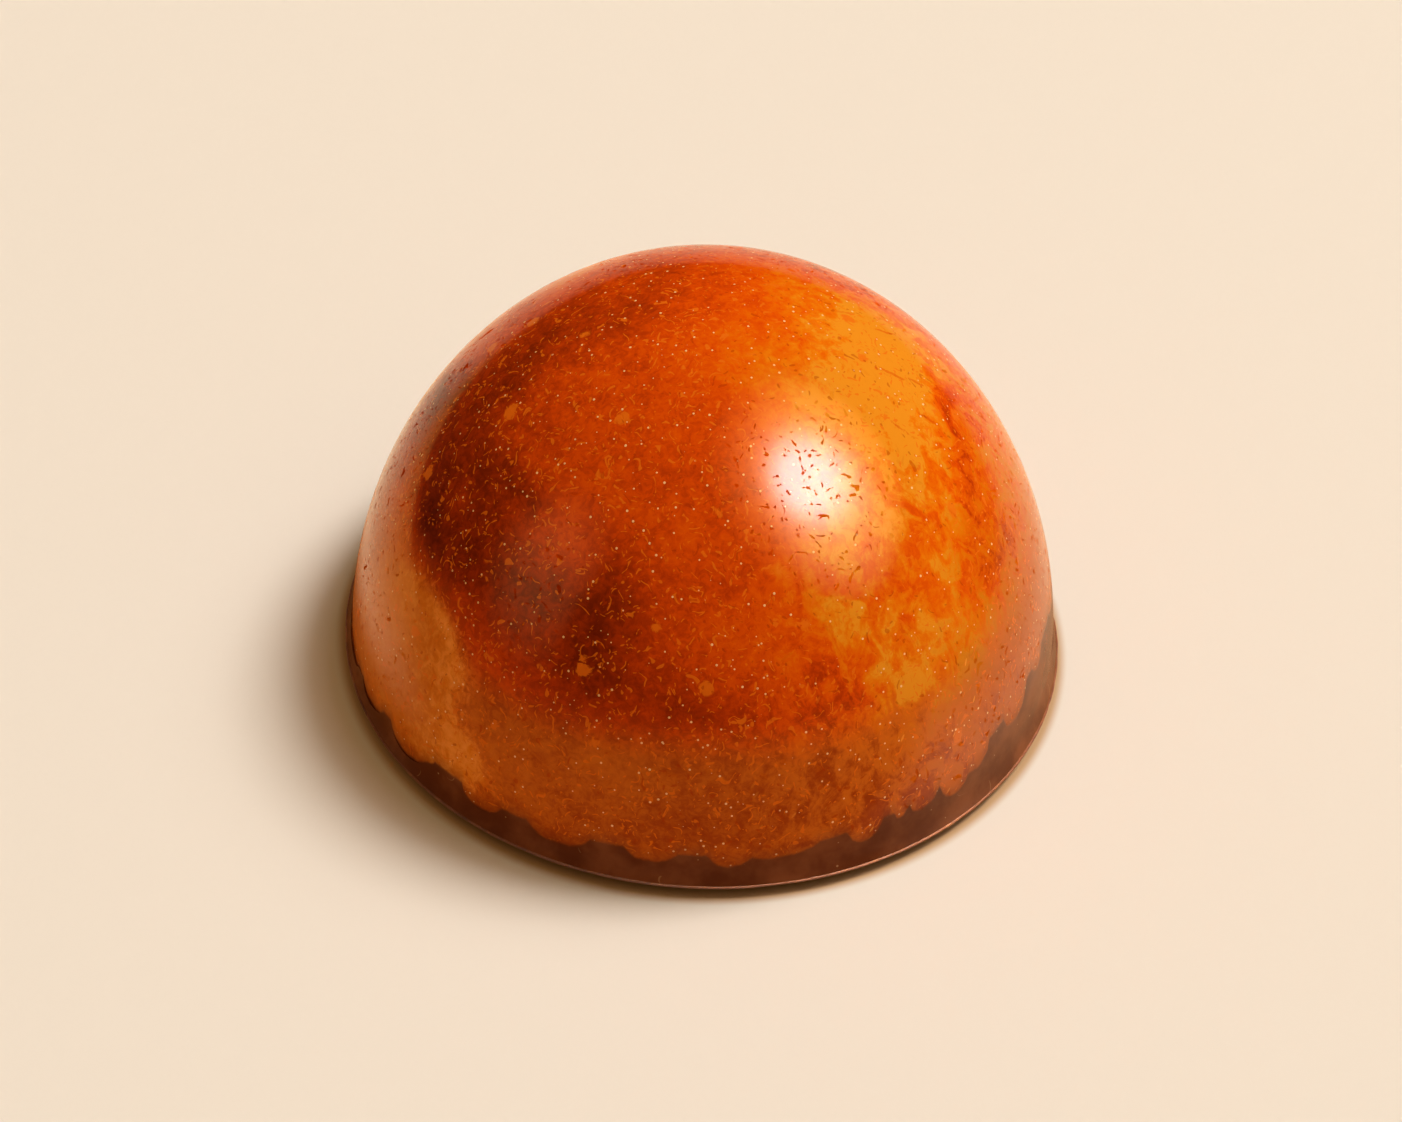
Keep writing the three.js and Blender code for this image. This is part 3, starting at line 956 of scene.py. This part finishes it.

# %% [markdown]
# ## Floor and light
#
# The bonbon stands on a warm white surface. Close beside the lip a narrow ring of it is painted darker and
# warmer: painted shade, warmed as the bonbon's brown would warm the light there. A small lamp, and a larger
# and fainter one round it, stand behind the bonbon on the right. They light everything and throw a short
# soft shadow to the left. What the gloss mirrors is made apart from that light, as a photographer does with
# cards and flags. A round glow with a soft rim gives the one white highlight, a far weaker one a little lower
# gives its pale halo, and a dim tall card on the left shows as a faint haze on the dark clouds. Near the
# dome's outline the gloss mirrors the surface, which glossy rays see in painted colours of its own: a
# painted reflection, bright close to the bonbon, fading with distance and warm on the left. Beyond a straight
# line on each side and in front, where the camera stands, that reflection is painted dark. These painted dark
# places are the flags.

# %% Floor
FLOOR_COLOUR = (0.822, 0.742, 0.632, 1)
PAINTED_SHADE_COLOUR = (0.6, 0.35, 0.17, 1)
PAINTED_SHADE_RING = (15.3, 15.8)
MIRRORED_NEAR = (1.5, 1.28, 0.88, 1)
MIRRORED_BESIDE = (0.95, 0.56, 0.28, 1)
MIRRORED_WARM = (2.4, 1.12, 0.24, 1)
MIRRORED_DARK = (0.04, 0.02, 0.01, 1)
LEFT_PAINTED_FLAG = (-0.89, -0.46, 0)
RIGHT_PAINTED_FLAG = (0.86, -0.51, 0)
FRONT_PAINTED_FLAG = (-0.2, -0.98, 0)
BRIGHT_DISTANCE = 18
BESIDE_LIP = (15.5, 20)

deselect_all()
bpy.ops.mesh.primitive_plane_add(size=6)
floor = bpy.context.active_object
floor.name = "floor"
floor_material, tree, shader = start_material("floor")
shader.inputs["Roughness"].default_value = 0.9
shader.inputs["Specular IOR Level"].default_value = 0.2

place = millimetres(tree)
towards_left = vector_node(tree, "DOT_PRODUCT", place, LEFT_PAINTED_FLAG)
towards_right = vector_node(tree, "DOT_PRODUCT", place, RIGHT_PAINTED_FLAG)
towards_front = vector_node(tree, "DOT_PRODUCT", place, FRONT_PAINTED_FLAG)
distance = vector_node(tree, "LENGTH", place, (0.0, 0.0, 0.0))
# A narrow ring of floor beside the lip is painted darker and warmer: painted contact shade, warmed like
# bounce light from the bonbon.
floor_colour = mix_node(tree, ramp_node(tree, distance, *PAINTED_SHADE_RING), PAINTED_SHADE_COLOUR, FLOOR_COLOUR)
tree.links.new(floor_colour, shader.inputs["Base Color"])
# What glossy rays see of the floor is a painted reflection: its own colours, fading with distance.
nearness = math_node(tree, "POWER", math_node(tree, "DIVIDE", BRIGHT_DISTANCE, distance), 0.5, clamp=True)
mirrored = mix_node(tree, ramp_node(tree, distance, *BESIDE_LIP), MIRRORED_BESIDE, MIRRORED_NEAR)
mirrored = mix_node(tree, ramp_node(tree, towards_left, 10, 32), mirrored, MIRRORED_WARM)
mirrored = mix_node(tree, nearness, MIRRORED_DARK, mirrored)
# Beyond three straight lines the painted reflection is painted dark; these are the painted flags.
painted_dark_in_gloss = math_node(
    tree, "MAXIMUM", ramp_node(tree, towards_left, 35, 39), ramp_node(tree, towards_right, 18, 52))
painted_dark_in_gloss = math_node(tree, "MAXIMUM", painted_dark_in_gloss, ramp_node(tree, towards_front, 7, 15))
mirrored_paint = tree.nodes.new("ShaderNodeBsdfDiffuse")
tree.links.new(mix_node(tree, painted_dark_in_gloss, mirrored, MIRRORED_DARK), mirrored_paint.inputs["Color"])
chosen = tree.nodes.new("ShaderNodeMixShader")
tree.links.new(tree.nodes.new("ShaderNodeLightPath").outputs["Is Glossy Ray"], chosen.inputs[0])
tree.links.new(shader.outputs["BSDF"], chosen.inputs[1])
tree.links.new(mirrored_paint.outputs["BSDF"], chosen.inputs[2])
tree.links.new(chosen.outputs[0], tree.nodes["Material Output"].inputs["Surface"])
floor.data.materials.append(floor_material)
print("floor material:", len(tree.nodes), "nodes")

# %% Lights
def direction(azimuth, elevation):
    """A unit vector towards a place in the room, in degrees from the front and above the horizon."""
    turn, rise = math.radians(azimuth), math.radians(elevation)
    return Vector((math.sin(turn) * math.cos(rise), -math.cos(turn) * math.cos(rise), math.sin(rise)))


def add_window(half_angle, radiance):
    """A round area lamp. radiance is how bright its face looks, with white paint at 1."""
    data = bpy.data.lights.new("window", "AREA")
    data.shape = "DISK"
    data.size = 2 * WINDOW_DISTANCE * math.tan(math.radians(half_angle))
    data.energy = radiance * math.pi**2 * (data.size / 2) ** 2
    data.color = WINDOW_COLOUR
    lamp = bpy.data.objects.new("window", data)
    bpy.context.scene.collection.objects.link(lamp)
    lamp.location = direction(*WINDOW) * WINDOW_DISTANCE
    lamp.rotation_euler = (-lamp.location).to_track_quat("-Z", "Y").to_euler()
    lamp.visible_glossy = False


def add_card(name, towards, tallness, glow, lean=(0, 0, 0), cut=1.5, distance=1.2):
    """A glowing card that only gloss mirrors.

    glow is a list of (degrees from its middle, red, green, blue radiance).
    The glow reaches further where lean points. The card ends in a crisp upright edge at a share, cut, of
    its reach, on the side that shows on the right.
    """
    reach = math.tan(math.radians(glow[-1][0]))
    peak = max(glow[0][1:])
    deselect_all()
    bpy.ops.mesh.primitive_circle_add(vertices=96, radius=1, fill_type="NGON")
    card = bpy.context.active_object
    card.name = name
    card.location = direction(*towards) * distance
    card.rotation_euler = (-card.location).to_track_quat("Z", "Y").to_euler()
    card.scale = (reach * distance, reach * distance * tallness, 1)
    material = bpy.data.materials.new(name)
    material.use_nodes = True
    tree = material.node_tree
    tree.nodes.clear()
    place = tree.nodes.new("ShaderNodeTexCoord").outputs["Object"]
    leaning = vector_node(tree, "DOT_PRODUCT", place, lean)
    share = math_node(tree, "SUBTRACT", vector_node(tree, "LENGTH", place, (0.0, 0.0, 0.0)), leaning)
    stops = []
    for angle, red, green, blue in glow:
        stops.append((math.tan(math.radians(angle)) / reach, (red / peak, green / peak, blue / peak, 1)))
    emission = tree.nodes.new("ShaderNodeEmission")
    sideways = vector_node(tree, "DOT_PRODUCT", place, (-1.0, 0.0, 0.0))
    inside = ramp_node(tree, sideways, cut - 0.05, cut + 0.05, 1, 0)
    colour = mix_node(tree, inside, (0.0, 0.0, 0.0, 1), toned(tree, share, stops))
    tree.links.new(colour, emission.inputs["Color"])
    emission.inputs["Strength"].default_value = peak
    added = tree.nodes.new("ShaderNodeAddShader")
    tree.links.new(emission.outputs[0], added.inputs[0])
    tree.links.new(tree.nodes.new("ShaderNodeBsdfTransparent").outputs[0], added.inputs[1])
    tree.links.new(added.outputs[0], tree.nodes.new("ShaderNodeOutputMaterial").inputs["Surface"])
    card.data.materials.append(material)
    card.visible_camera = False
    card.visible_diffuse = False
    card.visible_shadow = False


WINDOW = (119, 57.5)
WINDOW_DISTANCE = 2.4
WINDOW_COLOUR = (0.955, 0.975, 1)
HIGHLIGHT = (70, 58.2)
HIGHLIGHT_GLOW = [
    (0, 38, 36, 35), (7, 37, 35, 33.5), (11, 27, 24, 19), (14.5, 18, 13.2, 8), (17, 13, 8.2, 3.8),
    (20.5, 8.6, 4.6, 1.4), (24, 6, 2.8, 0.7), (29, 3, 1.2, 0.2), (36, 0, 0, 0),
]
HIGHLIGHT_LEAN = (-0.25, -0.12, 0)
HALO = (70, 45)
HALO_GLOW = [(0, 2.8, 3.2, 2.1), (13, 2.5, 2.8, 1.75), (18, 1.6, 1.6, 0.9), (23, 0, 0, 0)]
HALO_DISTANCE = 1.3
HAZE = (-63, 24)
HAZE_GLOW = [(0, 1.5, 1.0, 0.38), (9, 1.25, 0.8, 0.3), (15, 0.6, 0.36, 0.13), (22, 0, 0, 0)]
HAZE_CUT = 0.68
ROOM_COLOUR = (1, 0.66, 0.32, 1)
ROOM_STRENGTH = 0.3

add_window(half_angle=9, radiance=25.2)
add_window(half_angle=16, radiance=4.7)
add_card("highlight_card", HIGHLIGHT, 1, HIGHLIGHT_GLOW, lean=HIGHLIGHT_LEAN)
add_card("halo_card", HALO, 1.1, HALO_GLOW, distance=HALO_DISTANCE)
add_card("haze_card", HAZE, 1.25, HAZE_GLOW, cut=HAZE_CUT)

world = bpy.data.worlds.new("room")
world.use_nodes = True
background = world.node_tree.nodes["Background"]
background.inputs["Color"].default_value = ROOM_COLOUR
background.inputs["Strength"].default_value = ROOM_STRENGTH
world.cycles_visibility.glossy = False
bpy.context.scene.world = world
bpy.context.scene.view_settings.view_transform = "Standard"

# %% [markdown]
# ## Hand over
#
# Each piece stands for one node of the imported model, whose own part is hidden, and rides on the model's one
# body.

# %% Hand over
for piece, node, slot in ((film, "colour_film", "colour_film"), (chocolate, "chocolate_dome", "chocolate"),
                          (cap, "base_cap", "cap")):
    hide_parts(node)
    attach(piece, "root")
